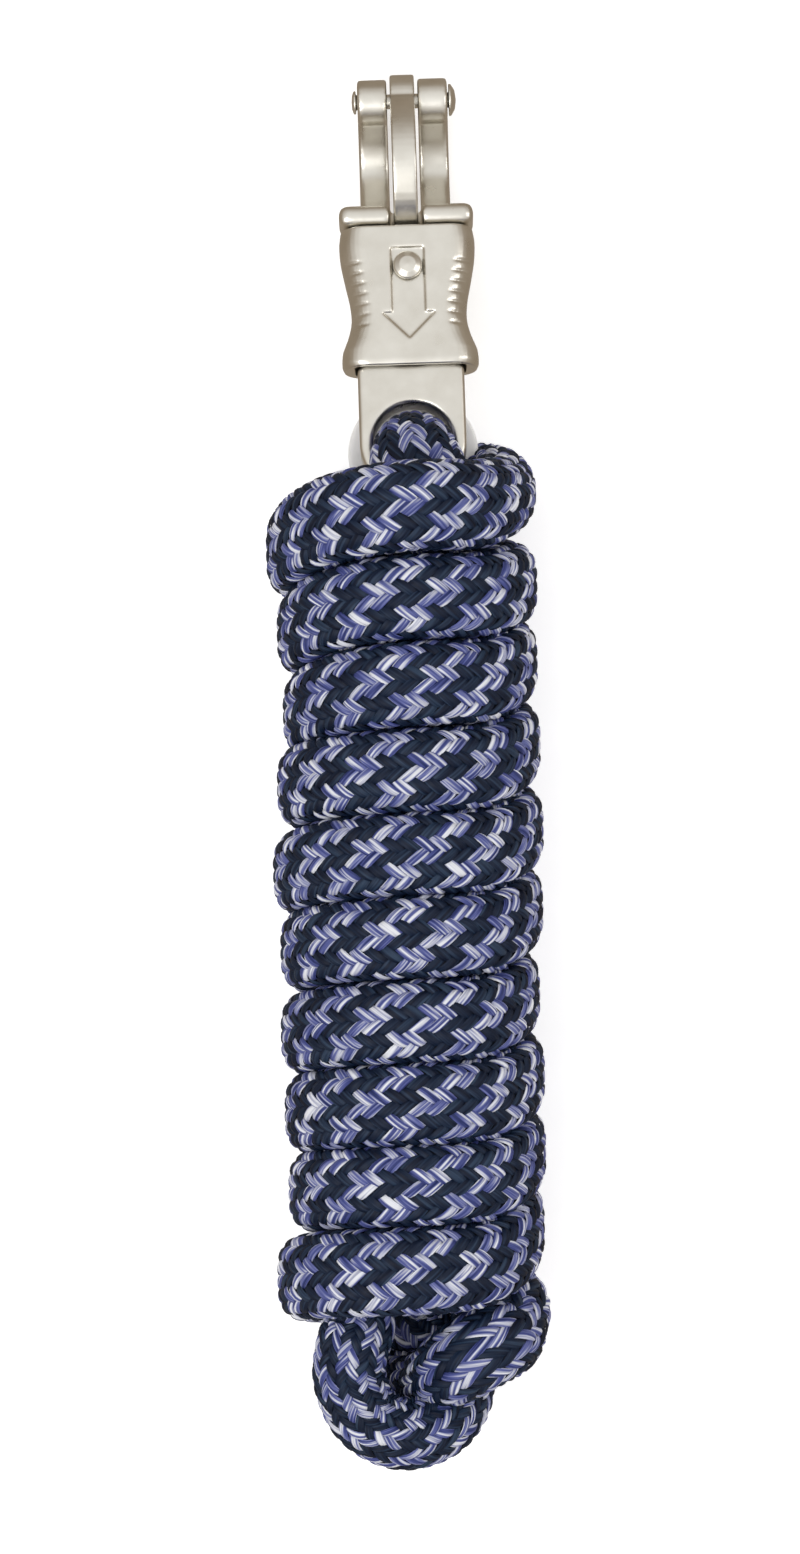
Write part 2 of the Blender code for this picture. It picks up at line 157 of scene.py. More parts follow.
class Graph:
    """A node tree to which nodes are added with their settings and the values or links of their sockets."""

    def __init__(self, tree):
        self.tree = tree

    def add(self, kind, settings=None, inputs=(), output=0):
        node = self.tree.nodes.new(kind)
        for name, value in (settings or {}).items():
            if name == "stops":
                set_stops(node.color_ramp, value)
            else:
                setattr(node, name, value)
        for key, value in inputs.items() if isinstance(inputs, dict) else enumerate(inputs):
            if isinstance(value, Socket):
                self.tree.links.new(value.output, node.inputs[key])
            else:
                node.inputs[key].default_value = value
        return Socket(self, node.outputs[output])

    def noise(self, scale, detail):
        """Fixed grain that stays with the piece."""
        place = self.add("ShaderNodeTexCoord", output="Object")
        return self.add("ShaderNodeTexNoise", {}, {"Vector": place, "Scale": scale, "Detail": detail})

    def ramp(self, stops, share):
        """The colours of a row of stops, by share."""
        return self.add("ShaderNodeValToRGB", {"stops": stops}, (share,))

    def mix(self, share, first, second):
        """A colour between two colours."""
        return self.add("ShaderNodeMix", {"data_type": "RGBA"}, {0: share, 6: first, 7: second}, output=2)

    def scaled(self, direction, length):
        """A direction made as long as a number says."""
        settings = {"operation": "SCALE"}
        return self.add("ShaderNodeVectorMath", settings, {0: direction, "Scale": length})


def set_stops(ramp, stops):
    """Each stop is a place on the ramp and its colour."""
    while len(ramp.elements) < len(stops):
        ramp.elements.new(0.5)
    for element, (place, colour) in zip(ramp.elements, stops):
        element.position = place
        element.color = (*colour, 1)


def new_material(name, roughness, metallic=0.0, **sockets):
    """A material, its graph, and its Principled node, whose plain sockets are set by name."""
    material = bpy.data.materials.new(name)
    material.use_nodes = True
    shader = material.node_tree.nodes["Principled BSDF"]
    shader.inputs["Roughness"].default_value = roughness
    shader.inputs["Metallic"].default_value = metallic
    for socket, value in sockets.items():
        shader.inputs[socket.replace("_", " ")].default_value = value
    return material, Graph(material.node_tree), shader


def drive(graph, shader, socket, value):
    """A pattern led into a socket of the Principled node."""
    graph.tree.links.new(value.output, shader.inputs[socket])


table_white, graph, shader = new_material("table_white", 0.6)
grain = graph.noise(90.0, 3.0)
whites = [(0.3, (0.93, 0.93, 0.93)), (0.7, (0.96, 0.96, 0.96))]
drive(graph, shader, "Base Color", graph.ramp(whites, grain))
shader.inputs["Emission Color"].default_value = (*WHITE, 1)
shader.inputs["Emission Strength"].default_value = TABLE_GLOW
floor_mesh = bpy.data.meshes.new("floor")
sheet_corners = [(x * TABLE_REACH, y * TABLE_REACH, 0) for x, y in ((-1, -1), (1, -1), (1, 1), (-1, 1))]
floor_mesh.from_pydata(sheet_corners, [], [range(4)])
floor_mesh.materials.append(table_white)
floor = bpy.data.objects.new("floor", floor_mesh)
bpy.context.scene.collection.objects.link(floor)
floor.visible_glossy = False


# The rope's line
# One soft plaited rope, 1.9 m long, wound into a hank by hand: from the stop up through the snap's eye, down
# the middle, round the bight and back up, out behind the eye, ten turns round both legs, into the bight.

MM = 0.001
EYE_PLACE = (0.0024, 0.0747, 0.028)
SNAP_DROOP = radians(10.3)
SNAP_LEAN = radians(0.9)
snap_turn = Euler((-SNAP_DROOP, 0, SNAP_LEAN)).to_matrix().to_4x4()
snap_place = Matrix.Translation(EYE_PLACE) @ snap_turn

# The stretches' middle lines in metres. The first is in the snap's own frame, and the rest in the hank's.
EYE_RUN = [
    (0.0, -0.0004, -0.0073),
    (0.0, -0.0006, -0.002),
    (0.0001, -0.0010, 0.0035),
    (0.0003, -0.0028, 0.0090),
    (0.0006, -0.0068, 0.0130),
    (0.0018, -0.0130, 0.0141),
    (0.0018, -0.0200, 0.0130),
]
FIRST_LEG = [
    (0.0, 0.044, 0.039),
    (0.0, 0.025, 0.0365),
    (0.0, -0.020, 0.036),
    (-0.001, -0.070, 0.036),
    (-0.0075, -0.103, 0.0375),
]
BIGHT = [
    (-0.0128, -0.1193, 0.0394),
    (-0.0131, -0.1245, 0.0397),
    (-0.0148, -0.1305, 0.0405),
    (-0.0152, -0.1370, 0.0400),
    (-0.0116, -0.1452, 0.0385),
    (-0.0035, -0.1495, 0.0365),
    (0.0052, -0.1472, 0.0320),
    (0.0094, -0.1400, 0.0240),
    (0.0052, -0.1315, 0.0180),
    (-0.0004, -0.1255, 0.0172),
    (0.0, -0.1193, 0.0180),
]
SECOND_LEG = [
    (0.0008, -0.103, 0.0215),
    (0.0, -0.070, 0.0250),
    (0.0, -0.020, 0.0254),
    (0.0, 0.025, 0.0254),
    (-0.006, 0.040, 0.0235),
    (-0.008, 0.048, 0.020),
]
LEAD = [
    (-0.0065, 0.057, 0.0135),
    (0.0020, 0.0648, 0.0096),
    (0.0132, 0.0672, 0.0098),
    (0.0208, 0.0662, 0.0178),
]
TAIL = [
    (0.0207, -0.1215, 0.0270),
    (0.0205, -0.1250, 0.0335),
    (0.0196, -0.1278, 0.0372),
    (0.0172, -0.1290, 0.0408),
    (0.0128, -0.1312, 0.0425),
    (0.0083, -0.1342, 0.0395),
    (0.0048, -0.1370, 0.0330),
    (0.0018, -0.1390, 0.0265),
    (-0.0025, -0.1403, 0.0215),
    (-0.0075, -0.1410, 0.0178),
    (-0.0120, -0.1415, 0.0153),
]
# Each turn in millimetres: X and Y at the right side, Y across the front, then X and Y at the left side.
TURNS = [
    (21.0, 62.6, 59.8, -21.3, 50.4),
    (20.1, 42.8, 39.4, -19.3, 32.1),
    (19.9, 25.3, 20.0, -18.2, 13.7),
    (20.3, 6.7, 0.6, -19.8, -2.8),
    (20.7, -12.6, -18.0, -21.0, -22.4),
    (20.3, -30.6, -36.6, -19.6, -39.9),
    (19.3, -49.9, -55.5, -19.8, -58.8),
    (20.1, -68.4, -74.0, -19.2, -76.8),
    (20.1, -85.7, -92.0, -18.6, -94.6),
    (19.5, -102.9, -111.3, -21.6, -114.4),
]
HANK_HEIGHT = 0.0307
TURN_DEPTH = 0.0205
FIRST_TURN_RISE = 0.0035
STEPS_IN_A_TURN = 16
HEIGHTS_IN_A_TURN = 8
LAST_TURN_Y = -121.5  # where the last turn comes back to the right side, in millimetres
STEPS_IN_A_SPAN = 24
LINE_SPACING = 0.0008
SOFTENING = 7  # points on either side over which sizes and twists are evened out


def through(values, at):
    """A smooth curve through evenly numbered values, read at one number."""
    low = min(int(at), len(values) - 2)
    t = at - low
    before, start, end = values[max(low - 1, 0)], values[low], values[low + 1]
    after = values[min(low + 2, len(values) - 1)]
    square = 2 * before - 5 * start + 4 * end - after
    cube = 3 * start - before - 3 * end + after
    return 0.5 * (2 * start + (end - before) * t + square * t**2 + cube * t**3)


def turn_points():
    """The turns' points, each turn from the right side over the front to the left and round the back."""
    heights, sides = [], []
    for number, (x_right, y_right, y_front, x_left, y_left) in enumerate(TURNS):
        y_next = TURNS[number + 1][1] if number + 1 < len(TURNS) else LAST_TURN_Y
        heights += [y_right, y_front + 0.15 * (y_right - y_front)]
        heights += [y_front, y_front + 0.33 * (y_left - y_front)]
        heights += [y_left + share * (y_next - y_left) for share in (0, 0.25, 0.5, 0.75)]
        sides += [x_right, x_left]
    heights.append(LAST_TURN_Y)
    sides.append(TAIL[0][0] / MM)
    points = []
    for step in range(STEPS_IN_A_TURN * len(TURNS) - 1):
        turns = step / STEPS_IN_A_TURN
        half = int(turns * 2)
        first, second = sides[half], sides[half + 1]
        angle = 2 * pi * turns
        x = (first + second) / 2 + (first - second) / 2 * cos(angle - pi * half)
        rise = FIRST_TURN_RISE * max(sin(angle), 0) if turns < 0.5 else 0
        z = HANK_HEIGHT + (TURN_DEPTH + rise) * sin(angle)
        points.append((x * MM, through(heights, turns * HEIGHTS_IN_A_TURN) * MM, z))
    return points


def smooth_line(knots, spacing):
    """Even points on one curve through the knots, and how far along it each point and each knot lies."""
    knots = np.array(knots)
    fine = []
    for span in range(len(knots) - 1):
        for step in range(STEPS_IN_A_SPAN):
            fine.append(through(knots, span + step / STEPS_IN_A_SPAN))
    fine = np.array([*fine, knots[-1]])
    walked = np.concatenate([[0], np.cumsum(np.linalg.norm(np.diff(fine, axis=0), axis=1))])
    even = np.linspace(0, walked[-1], round(walked[-1] / spacing) + 1)
    line = np.stack([np.interp(even, walked, fine[:, axis]) for axis in range(3)], axis=1)
    return line, even, walked[::STEPS_IN_A_SPAN]


eye_run = [tuple(snap_place @ Vector(point)) for point in EYE_RUN]
stretches = [eye_run, FIRST_LEG, BIGHT, SECOND_LEG, LEAD, turn_points(), TAIL]
knots = [point for stretch in stretches for point in stretch]
line, walked, knot_at = smooth_line(knots, LINE_SPACING)
first_knots = np.cumsum([0] + [len(stretch) for stretch in stretches])
bounds_at = [float(knot_at[min(knot, len(knot_at) - 1)]) for knot in first_knots]
EYE_START, LEG_1_START, BIGHT_START, LEG_2_START, LEAD_START, TURNS_START, TAIL_START, ROPE_END = bounds_at

# How far the rope's skin is from its middle, outwards and sideways, in millimetres, at places along it. It is
# squeezed in the eye, pressed flat inside the hank, and pinched where the tail goes through the bight.
SKIN = [
    (EYE_START, 8.5, 8.5),
    (EYE_START + 0.010, 8.3, 8.3),
    (EYE_START + 0.016, 7.8, 9.6),
    (EYE_START + 0.022, 7.8, 10.9),
    (EYE_START + 0.028, 7.4, 11.2),
    (LEG_1_START, 5.0, 9.8),
    (BIGHT_START - 0.012, 5.0, 9.6),
    (BIGHT_START + 0.006, 8.3, 8.5),
    (LEG_2_START - 0.006, 8.3, 8.3),
    (LEG_2_START + 0.012, 5.0, 9.6),
    (LEAD_START - 0.012, 5.2, 9.4),
    (LEAD_START + 0.006, 8.4, 8.6),
    (TURNS_START - 0.004, 9.0, 9.0),
    (TURNS_START + 0.02, 10.3, 10.4),
    (TURNS_START + 0.06, 10.3, 10.2),
    (TURNS_START + 0.11, 10.1, 9.75),
    (TAIL_START - 0.14, 10.1, 9.6),
    (TAIL_START - 0.10, 10.1, 10.2),
    (TAIL_START, 9.7, 9.7),
    (TAIL_START + 0.026, 9.3, 9.3),
    (TAIL_START + 0.040, 6.9, 7.6),
    (ROPE_END - 0.006, 9.4, 9.4),
    (ROPE_END, 9.4, 9.4),
]


def evened(values):
    """Values along the line with their sudden changes softened."""
    window = np.hanning(2 * SOFTENING + 1)
    return np.convolve(np.pad(values, SOFTENING, "edge"), window / window.sum(), "valid")


stations = np.array(SKIN)
deep = evened(np.interp(walked, stations[:, 0], stations[:, 1]) * MM)
wide = evened(np.interp(walked, stations[:, 0], stations[:, 2]) * MM)
ahead = np.gradient(line, axis=0)
ahead /= np.linalg.norm(ahead, axis=1)[:, None]


def carried_along(first):
    """A direction across the line, carried along it without twist."""
    carried = [np.array(first)]
    for heading in ahead:
        across = carried[-1] - heading * (carried[-1] @ heading)
        carried.append(across / np.linalg.norm(across))
    return np.array(carried[1:])


def facing_out():
    """Which way the rope's outer side faces: out of the hank on the turns, and up on the two legs."""
    wanted = np.zeros_like(line)
    wanted[:, 2] = 1
    wound = (walked > TURNS_START - 0.02) & (walked < TAIL_START + 0.02)
    wanted[wound] = line[wound] * (1, 0, 1) - (0, 0, HANK_HEIGHT)
    known = (walked > LEG_1_START) & (walked < LEAD_START - 0.01) | wound
    known |= walked < 0.008
    wanted[walked < 0.008] = (0, 1, 0)
    return wanted, known


drifting = carried_along((0, 1, 0))
drifting_side = np.cross(ahead, drifting)
wanted, known = facing_out()
turned_by = np.arctan2((wanted * drifting_side).sum(1), (wanted * drifting).sum(1))
turned_by = np.interp(walked, walked[known], np.unwrap(turned_by[known]))
turned_by = evened(turned_by)[:, None]
outward = np.cos(turned_by) * drifting + np.sin(turned_by) * drifting_side
side = np.cross(ahead, outward)
# How fully the rope lies between two neighbours: 1 along the turns, and 0 outside them.
turning = np.clip((walked - TURNS_START - 0.01) / 0.02, 0, 1)
turning = turning * np.clip((TAIL_START - walked) / 0.02, 0, 1)


# The rope's core
# A bundle of soft spun fibre that fills the plaited cover from end to end. Its near-black navy is partly the
# fibre's own colour and partly painted shade, because it shows only in the gaps between the stitches, where
# shade falls. It is the piece that stands for the rope's length.

COVER_DEPTH = 0.95 * MM
CORE_SIDES = 24
CORE_STEP = 3  # points of the rope's line from one ring of the core to the next
SQUEEZE = 0.14  # how far the turns press each other towards a square section

# The core's near-black colour is partly painted shade for the gaps between the stitches and partly its own
# dark navy.
core_dark_and_shade, graph, shader = new_material("core_dark_and_shade", 0.9)
fibres = graph.noise(1800.0, 3.0)
shades = [(0.35, (0.004, 0.005, 0.010)), (0.7, (0.014, 0.018, 0.035))]
drive(graph, shader, "Base Color", graph.ramp(shades, fibres))


def add_piece(name, mesh, material, body=ROOT):
    """A finished piece: its object at the origin, its place in its mesh, riding on its body."""
    piece = bpy.data.objects.new(name, mesh)
    bpy.context.scene.collection.objects.link(piece)
    mesh.materials.clear()
    mesh.materials.append(material)
    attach(piece, body)
    return piece


def tube_mesh(name, rings):
    """Equal rings of points joined into one tube with closed ends, its faces pointing out."""
    count, sides = rings.shape[:2]
    corners = np.arange(count * sides).reshape(count, sides)
    low, high = corners[:-1], corners[1:]
    quads = np.stack([low, np.roll(low, -1, 1), np.roll(high, -1, 1), high], axis=2).reshape(-1, 4)
    faces = [*quads.tolist(), corners[0][::-1].tolist(), corners[-1].tolist()]
    mesh = bpy.data.meshes.new(name)
    mesh.from_pydata(rings.reshape(-1, 3).tolist(), [], faces)
    bm = bmesh.new()
    bm.from_mesh(mesh)
    bmesh.ops.recalc_face_normals(bm, faces=bm.faces)
    bm.to_mesh(mesh)
    bm.free()
    mesh.shade_smooth()
    return mesh


ringed = slice(None, None, CORE_STEP)
angles = np.linspace(0, 2 * pi, CORE_SIDES, endpoint=False)[None, :, None]
pressed = 1 + SQUEEZE * turning[ringed, None, None] * np.sin(2 * angles) ** 2
rings = outward[ringed, None] * (deep[ringed, None, None] - COVER_DEPTH) * np.cos(angles) * pressed
rings = rings + side[ringed, None] * (wide[ringed, None, None] - COVER_DEPTH) * np.sin(angles) * pressed
rings = rings + line[ringed, None]
core = add_piece("rope_core", tube_mesh("rope_core", rings), core_dark_and_shade)


# The rope's plaited cover
# Bright yarn, plaited by machine over the core: twenty carriers run each way round, over two and under two.
# Two carriers in four hold lilac and white yarn, and the rest navy. Where a carrier comes up is one stitch.

CARRIERS = 20
ADVANCE = 1.24 * MM  # along the rope from one crossing to the next
PLAIT_RADIUS = 10 * MM  # of the flat layout; the stitches follow the rope's real size
CROSSING_WIDTH = 2 * pi * PLAIT_RADIUS / (2 * CARRIERS)
CROSSING_LENGTH = float(np.hypot(CROSSING_WIDTH, ADVANCE))
PLAIT_ANGLE = float(np.arctan2(CROSSING_WIDTH, ADVANCE))
STITCH_TUCK = 1.1 * MM  # both of a stitch's ends that run under its neighbours
STITCH_LENGTH = 2 * CROSSING_LENGTH + STITCH_TUCK
STITCH_FILL = 0.99  # how much of its place between its neighbours a stitch takes up
STITCH_WIDTH = 2 * ADVANCE * CROSSING_WIDTH / CROSSING_LENGTH * STITCH_FILL
STITCH_CROWN = 0.45 * MM
STITCH_DIVE = 0.95 * MM
DIVE_SHARPNESS = 2.6


def plait_tree():
    """Lays the stitches flat, row by row, and wraps them round the rope's line."""
    tree = bpy.data.node_groups.new("plaited_cover", "GeometryNodeTree")
    tree.interface.new_socket("Geometry", in_out="OUTPUT", socket_type="NodeSocketGeometry")
    tree.interface.new_socket("Rope line", in_out="INPUT", socket_type="NodeSocketGeometry")
    sizes = (
        ("Start", 0.0),
        ("End", 0.1),
        ("Rows", float(CARRIERS)),
        ("Advance", ADVANCE),
        ("Plait radius", PLAIT_RADIUS),
        ("Plait angle", PLAIT_ANGLE),
        ("Stitch length", STITCH_LENGTH),
        ("Stitch width", STITCH_WIDTH),
        ("Crown", STITCH_CROWN),
        ("Dive", STITCH_DIVE),
        ("Squeeze", SQUEEZE),
    )
    for name, value in sizes:
        size_socket = tree.interface.new_socket(name, in_out="INPUT", socket_type="NodeSocketFloat")
        size_socket.default_value = value
    tree.interface.new_socket("Cover", in_out="INPUT", socket_type="NodeSocketMaterial")
    graph = Graph(tree)
    given = graph.add("NodeGroupInput")
    start, end, rows, advance = (given.also(name) for name in ("Start", "End", "Rows", "Advance"))
    radius = given.also("Plait radius")
    rope_line = graph.add("GeometryNodeMeshToCurve", {}, (given.also("Rope line"),))

    def along_line(length, attribute):
        """What the rope's line carries under a name, at a length along it."""
        vector = {"data_type": "FLOAT_VECTOR"}
        named = graph.add("GeometryNodeInputNamedAttribute", vector, {"Name": attribute})
        inputs = {"Curves": rope_line, "Value": named, "Length": length}
        return graph.add("GeometryNodeSampleCurve", {"mode": "LENGTH", **vector}, inputs)

    def store(geometry, name, value):
        """A number kept on each point, for the yarn's material to read."""
        settings = {"data_type": "FLOAT", "domain": "POINT"}
        inputs = {"Geometry": geometry, "Name": name, "Value": value}
        return graph.add("GeometryNodeStoreNamedAttribute", settings, inputs)

    # Rows are carriers and columns are stitches along them. The offsets step each carrier's stitches by the
    # over-two, under-two rule, and centre each stitch on the two crossings that it covers.
    first = (start / (advance * 2)).math("FLOOR")
    columns = ((end - start) / (advance * 2)).math("FLOOR") + 4
    number = graph.add("GeometryNodeInputIndex")
    row = number % rows
    column = (number / rows).math("FLOOR") + first
    band = (row / 2).math("FLOOR")
    lean = row % 2
    place = (column * 2 + lean * 3 - 2.5 - (band % 2) * 4) * advance
    around = ((band * 4) * (lean * 2 - 1) - 2.5 + lean * 2) * (pi / CARRIERS)
    light = ((column + 1 - lean) % 4) < 1.5
    flat = graph.add("ShaderNodeCombineXYZ", {}, (place, around * radius, 0.0))
    points = graph.add("GeometryNodePoints", {}, {"Count": columns * rows, "Position": flat})
    points = store(points, "light", light)
    seeded = {"ID": number, "Seed": 7}
    chance = graph.add("FunctionNodeRandomValue", {"data_type": "FLOAT"}, seeded, output=1)
    points = store(points, "chance", chance)

    # Stitches that face the inside of a turn are left out. Both legs lie against most of them.
    hidden = along_line(place, "size").vector("DOT_PRODUCT", (0.0, 0.0, 1.0)).also("Value")
    shown = (hidden * around.math("COSINE") * -1 < 0.5) * (place > start) * (place < end)

    # One stitch: a small sheet, crowned across, whose ends dive under their neighbours.
    length, width = given.also("Stitch length"), given.also("Stitch width")
    sheet = {"Size X": length, "Size Y": width, "Vertices X": 7, "Vertices Y": 4}
    stitch = graph.add("GeometryNodeMeshGrid", {}, sheet)
    spot = graph.add("ShaderNodeSeparateXYZ", {}, (graph.add("GeometryNodeInputPosition"),))
    along = spot / (length / 2)
    across = spot.also("Y") / (width / 2)
    fall = (across * across) * given.also("Crown")
    fall = fall + (along.math("ABSOLUTE") ** DIVE_SHARPNESS) * given.also("Dive")
    drop = graph.add("ShaderNodeCombineXYZ", {}, (0.0, 0.0, fall * -1))
    stitch = graph.add("GeometryNodeSetPosition", {}, {"Geometry": stitch, "Offset": drop})
    stitch = store(store(stitch, "along", along), "across", across)
    turn = graph.add("ShaderNodeCombineXYZ", {}, (0.0, 0.0, (1 - lean * 2) * given.also("Plait angle")))
    sewn = {"Points": points, "Selection": shown, "Instance": stitch, "Rotation": turn}
    laid = graph.add("GeometryNodeInstanceOnPoints", {}, sewn)
    laid = graph.add("GeometryNodeRealizeInstances", {}, (laid,))

    # The flat sheet of stitches wrapped round the line: X runs along it, and Y becomes the angle round it.
    spot = graph.add("ShaderNodeSeparateXYZ", {}, (graph.add("GeometryNodeInputPosition"),))
    angle = spot.also("Y") / radius
    size = graph.add("ShaderNodeSeparateXYZ", {}, (along_line(spot, "size"),))
    pressed = (angle * 2).math("SINE") ** 2 * size.also("Z") * given.also("Squeeze") + 1
    out = (size + spot.also("Z")) * angle.math("COSINE") * pressed
    out = graph.scaled(along_line(spot, "outward"), out)
    over = (size.also("Y") + spot.also("Z")) * angle.math("SINE") * pressed
    over = graph.scaled(along_line(spot, "side"), over)
    middle = along_line(spot, "size").also("Position")
    wrapped = middle.vector("ADD", out.vector("ADD", over))
    cover = graph.add("GeometryNodeSetPosition", {}, {"Geometry": laid, "Position": wrapped})
    cover = graph.add("GeometryNodeFlipFaces", {}, (cover,))
    cover = graph.add("GeometryNodeSetShadeSmooth", {}, {"Geometry": cover})
    cover = graph.add("GeometryNodeSetMaterial", {}, {"Geometry": cover, "Material": given.also("Cover")})
    tree.links.new(cover.output, tree.nodes.new("NodeGroupOutput").inputs[0])
    return tree


def line_mesh():
    """The rope's line as a chain of edges that carries its two directions, its sizes and its turning."""
    mesh = bpy.data.meshes.new("rope_line")
    mesh.from_pydata(line.tolist(), [(i, i + 1) for i in range(len(line) - 1)], [])
    size = np.stack([deep, wide, turning], axis=1)
    for name, values in (("outward", outward), ("side", side), ("size", size)):
        attribute = mesh.attributes.new(name, "FLOAT_VECTOR", "POINT")
        attribute.data.foreach_set("vector", values.astype(np.float32).ravel())
    return mesh


def yarn_material():
    """Bright multifilament yarn: fine strips along each stitch, lilac and white on some, navy on the rest."""
    material, graph, shader = new_material("plaited_yarn", 0.5, Specular_IOR_Level=0.22)

    def read(name):
        return graph.add("ShaderNodeAttribute", {"attribute_name": name}, {}, output="Fac")

    along, across, chance, light = (read(name) for name in ("along", "across", "chance", "light"))
    strip = (along * 0.22 + chance * 40, across * 1.5 + chance * 90, chance * 60)
    strip = graph.add("ShaderNodeCombineXYZ", {}, strip)
    strips = {"Vector": strip, "Scale": 1.0, "Detail": 1.5, "Roughness": 0.6}
    yarns = graph.add("ShaderNodeTexNoise", {}, strips)
    lilac_stops = [
        (0.30, (0.016, 0.025, 0.11)),
        (0.42, (0.055, 0.070, 0.24)),
        (0.50, (0.13, 0.15, 0.36)),
        (0.57, (0.44, 0.46, 0.58)),
        (0.67, (0.75, 0.77, 0.83)),
    ]
    navy_stops = [
        (0.32, (0.001, 0.004, 0.017)),
        (0.52, (0.005, 0.013, 0.036)),
        (0.70, (0.022, 0.042, 0.082)),
    ]
    lilac = graph.ramp(lilac_stops, yarns)
    navy = graph.ramp(navy_stops, yarns)
    drive(graph, shader, "Base Color", graph.mix(light, navy, lilac))
    hair = (along * 0.5 + chance * 70, across * 7 + chance * 30, chance * 50)
    hair = graph.add("ShaderNodeCombineXYZ", {}, hair)
    hairs = graph.add("ShaderNodeTexNoise", {}, {"Vector": hair, "Scale": 1.0, "Detail": 2.0})
    ridges = hairs + (across * 2 * pi + chance * 3).math("SINE") * 0.35
    relief = {"Strength": 0.55, "Distance": 0.22 * MM, "Height": ridges}
    drive(graph, shader, "Normal", graph.add("ShaderNodeBump", {}, relief, output="Normal"))
    return material


plaited_yarn = yarn_material()
plait = plait_tree()
rope_line = line_mesh()


def finished_mesh(holder):
    """What an object's modifiers make of it, as a plain mesh; the object itself is removed."""
    shaped = holder.evaluated_get(bpy.context.evaluated_depsgraph_get())
    mesh = bpy.data.meshes.new_from_object(shaped)
    bpy.data.objects.remove(holder)
    return mesh


def add_cover(name, start, end, *nodes):
    """The cover from start to end along the rope, in place of the plain solids of that stretch."""
    holder = bpy.data.objects.new(name, rope_line.copy())
    bpy.context.scene.collection.objects.link(holder)
    modifier = holder.modifiers.new("Plaited cover", "NODES")
    modifier.node_group = plait
    stretch = {"Start": start, "End": end, "Cover": plaited_yarn}
    for item in plait.interface.items_tree:
        if item.in_out == "INPUT" and item.name in stretch:
            modifier[item.identifier] = stretch[item.name]
    mesh = finished_mesh(holder)
    piece = add_piece(name, mesh, plaited_yarn)
    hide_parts(*nodes)
    return piece


# The middle parts of both legs have no cover, because the turns lie round them.
middle_turn = TURNS_START + (TAIL_START - TURNS_START) / 2
covers = [
    add_cover("eye_run_cover", 0.001, LEG_1_START + 0.03, "rope_eye_run"),
    add_cover("upper_turns_cover", LEAD_START - 0.035, middle_turn, "rope_hank"),
    add_cover("lower_turns_cover", middle_turn, TAIL_START, "rope_hank"),
    add_cover("bight_cover", BIGHT_START - 0.012, LEG_2_START + 0.012, "rope_bight"),
    add_cover("tail_cover", TAIL_START, ROPE_END, "rope_tail"),
]


# The snap's body, tongue and cross pin
# All are cast in zinc, tumbled, and plated with satin nickel. The body is the eye, the shank, the shoulders
# and the two arms in one piece. The tongue swings between the arms on the pin, whose ends are riveted over.

satin_nickel, graph, shader = new_material("satin_nickel", 0.3, 1.0)
clouds = graph.noise(160.0, 4.0)
tints = [(0.3, (0.70, 0.67, 0.60)), (0.7, (0.80, 0.775, 0.71))]
drive(graph, shader, "Base Color", graph.ramp(tints, clouds))
drive(graph, shader, "Roughness", clouds * 0.16 + 0.22)
grit = graph.noise(2600.0, 2.0)
relief = {"Strength": 0.08, "Distance": 0.1 * MM, "Height": grit}
drive(graph, shader, "Normal", graph.add("ShaderNodeBump", {}, relief, output="Normal"))


def cast_skin(name, node, voxel, passes, material, body=ROOT, cutters=()):
    """A node's solid again as one even skin with soft edges, as tumbling leaves a casting."""
    bm = bmesh.new()
    bm.from_mesh(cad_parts[node].data)
    bmesh.ops.remove_doubles(bm, verts=bm.verts, dist=1e-6)
    bmesh.ops.transform(bm, matrix=snap_place.inverted(), verts=bm.verts)
    mesh = bpy.data.meshes.new(name)
    bm.to_mesh(mesh)
    bm.free()
    mesh.materials.clear()
    blank = bpy.data.objects.new(name, mesh)
    bpy.context.scene.collection.objects.link(blank)
    for cutter in cutters:
        groove = blank.modifiers.new(cutter.name, "BOOLEAN")
        groove.object = cutter
        groove.solver = "EXACT"
    remesh = blank.modifiers.new("Even skin", "REMESH")
    remesh.mode = "VOXEL"
    remesh.voxel_size = voxel
    tumbling = blank.modifiers.new("Tumbling", "SMOOTH")
    tumbling.factor = 0.5
    tumbling.iterations = passes
    skin = finished_mesh(blank)
    for cutter in cutters:
        bpy.data.objects.remove(cutter)
    skin.transform(snap_place)
    skin.shade_smooth()
    piece = add_piece(name, skin, material, body)
    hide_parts(node)
    return piece


cast_skin("snap_casting", "snap_body", 0.00036, 20, satin_nickel)
cast_skin("tongue_casting", "hook_tongue", 0.00026, 12, satin_nickel, body="tongue")
cast_skin("tongue_pin_riveted", "tongue_pin", 0.00016, 4, satin_nickel)


# The release sleeve
# A waisted zinc casting that slides on the shank and holds the tongue shut. It has seven grip grooves on each
# flank and a sunk arrow that shows which way to pull it, and a domed rivet ties it to the spring.

SLEEVE_FACE = 0.0072
SLEEVE_CORNER = 0.0058
ARROW_DEPTH = 0.0006
GROOVES = 7
GROOVE_FIRST = 0.0271
GROOVE_PITCH = 0.0024
GROOVE_RADIUS = 0.0005
GROOVE_LIFT = 0.00012  # how far the bars' middle line stands off the flank
GROOVE_FADE = 0.0005  # how much further off it stands at both ends of a groove
# Places along the sleeve, and how far each flank stands out there.
FLANK = [
    (0.0245, 0.0142),
    (0.0285, 0.0132),
    (0.0330, 0.0134),
    (0.0380, 0.0144),
    (0.0430, 0.0153),
    (0.0470, 0.0155),
]


def new_cutter(name, mesh):
    """An unseen object that only cuts."""
    cutter = bpy.data.objects.new(name, mesh)
    bpy.context.scene.collection.objects.link(cutter)
    cutter.hide_render = True
    return cutter


